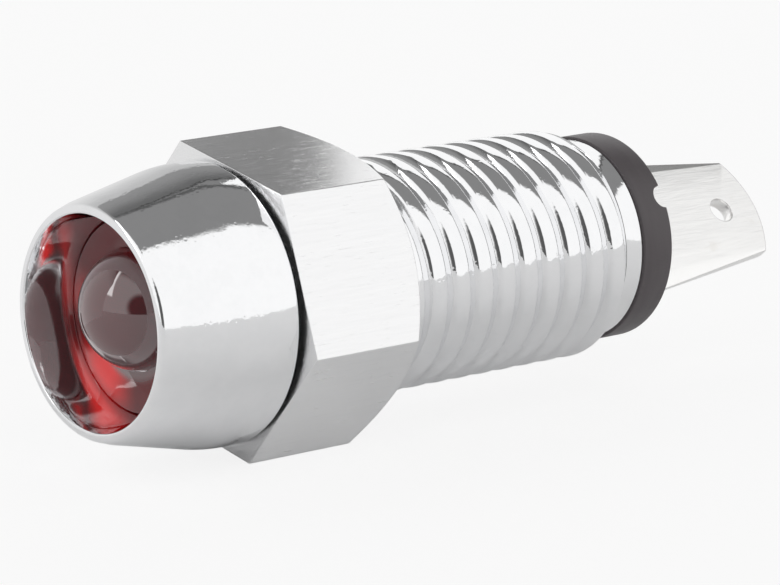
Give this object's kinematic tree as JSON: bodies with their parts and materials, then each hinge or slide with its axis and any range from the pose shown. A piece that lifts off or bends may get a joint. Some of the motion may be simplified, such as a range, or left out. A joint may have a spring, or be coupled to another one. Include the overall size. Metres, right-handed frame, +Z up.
{
  "type": "panel pilot light",
  "caption": "Chromed panel pilot light with a recessed red domed lens, a threaded shank with a hexagon nut and one blade terminal.",
  "frame": {"origin": "centre of the bezel's seat on the axis, where the face of the panel lies", "axes": "+Y along the axis from the lens to the terminal, +Z up, the lens looks along -Y"},
  "size_m": [0.0158, 0.0445, 0.0152],
  "materials": {
    "chrome_plate": "polished",
    "nut_plate": "brushed along its length",
    "red_lens": "clear red moulding",
    "red_resin": "clear red resin",
    "tinned_lead": "tinned",
    "chip": "polished",
    "black_plastic": "moulded, slightly satin",
    "brass": "bright",
    "solder": "satin",
    "resistor_lacquer": "lacquered",
    "white_tubing": "soft",
    "tinned_blade": "bright tin"
  },
  "bodies": {
    "lamp": {"bezel_body": "chrome_plate", "lens": "red_lens", "led_body": "red_resin", "led_cathode": "tinned_lead", "led_anode": "tinned_lead", "led_chip": "chip", "led_holder": "black_plastic", "earth_ring": "brass", "earth_solder": "solder", "anode_tubing": "white_tubing", "anode_solder": "solder", "resistor_front_wire": "tinned_lead", "resistor_body": "resistor_lacquer", "resistor_rear_wire": "tinned_lead", "resistor_sleeve": "white_tubing", "terminal_solder": "solder", "insulator_plug": "black_plastic", "blade_terminal": "tinned_blade"},
    "nut": {"hex_nut": "nut_plate"}
  },
  "joints": [
    {"name": "nut_run", "type": "slide", "parent": "lamp", "child": "nut", "axis": [0, 1, 0], "range_m": [0, 0.04]}
  ]
}
